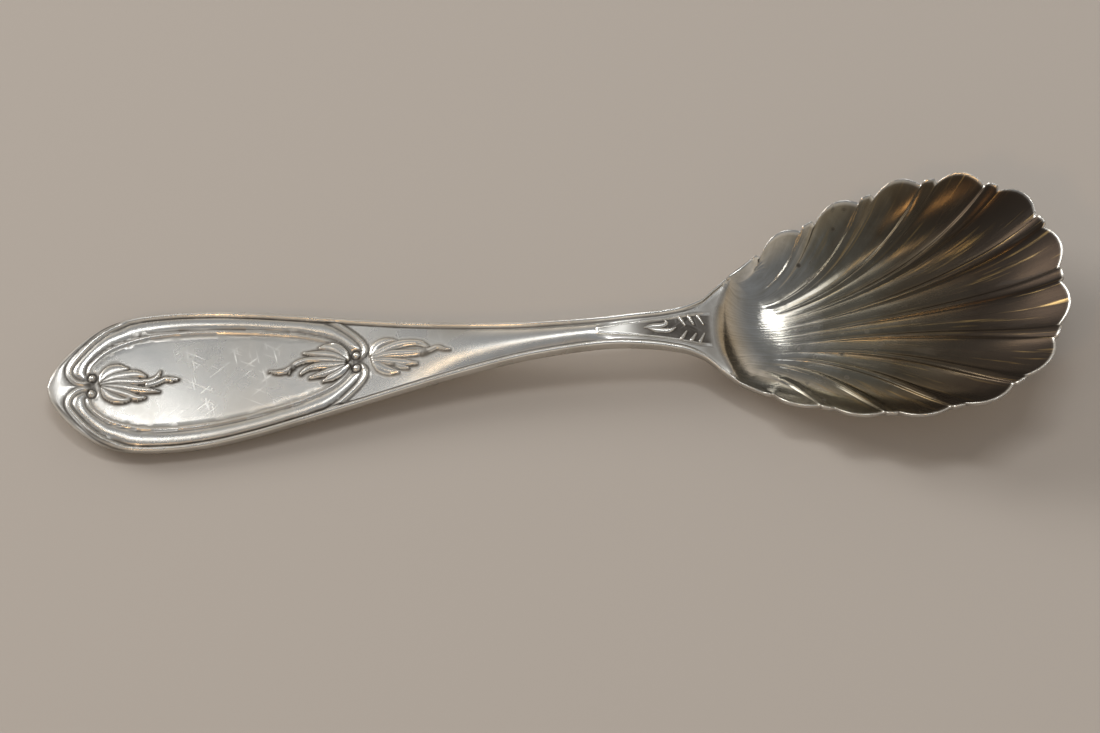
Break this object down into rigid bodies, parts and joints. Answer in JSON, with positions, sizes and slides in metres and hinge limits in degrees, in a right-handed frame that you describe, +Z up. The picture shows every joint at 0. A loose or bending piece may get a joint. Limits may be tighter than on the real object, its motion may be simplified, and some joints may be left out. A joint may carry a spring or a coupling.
{
  "type": "fluted shell serving spoon",
  "caption": "Small silver serving spoon with a fluted, scallop-edged shell bowl and a broad bordered handle with relief ornament.",
  "frame": {"origin": "centre of the bounding box in plan, at the height of the surface the spoon lies on", "axes": "+X from the handle's end to the bowl's tip, +Y across, +Z up out of the open bowl"},
  "size_m": [0.1558, 0.0402, 0.0144],
  "materials": {
    "silver": "old silver, worn satin bright, with dark patina in the recesses and brown tarnish in the bowl"
  },
  "bodies": {
    "root": {"spoon": "silver"}
  },
  "joints": []
}
